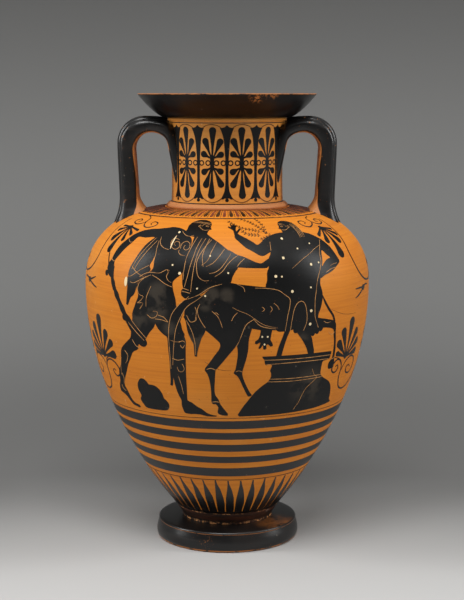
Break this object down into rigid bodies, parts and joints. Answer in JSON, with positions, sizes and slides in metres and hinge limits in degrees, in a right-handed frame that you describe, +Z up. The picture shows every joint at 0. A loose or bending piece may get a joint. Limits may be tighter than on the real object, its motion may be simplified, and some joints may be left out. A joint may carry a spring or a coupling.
{
  "type": "amphora",
  "caption": "Tall two-handled ceramic storage jar with an ovoid body, separate neck, flaring mouth, disc foot and ribbed vertical handles.",
  "frame": {"origin": "centre of the foot's resting plane, on the axis of the vase", "axes": "+Z up along the axis of the vase, the painted front faces -Y, the handles stand at +X and -X"},
  "size_m": [0.26, 0.26, 0.41],
  "materials": {
    "clay": "burnished orange clay",
    "pale_clay": "worn pale orange clay",
    "black_gloss": "black slip with a semi-gloss sheen",
    "worn_gloss": "worn brownish black slip"
  },
  "bodies": {
    "root": {"foot": "black_gloss", "foot_fillet": "worn_gloss", "body": "clay", "neck_ring": "pale_clay", "neck": "clay", "mouth": "black_gloss", "handle_left_reed_front": "black_gloss", "handle_left_reed_middle": "black_gloss", "handle_left_reed_back": "black_gloss", "handle_right_reed_front": "black_gloss", "handle_right_reed_middle": "black_gloss", "handle_right_reed_back": "black_gloss"}
  },
  "joints": []
}
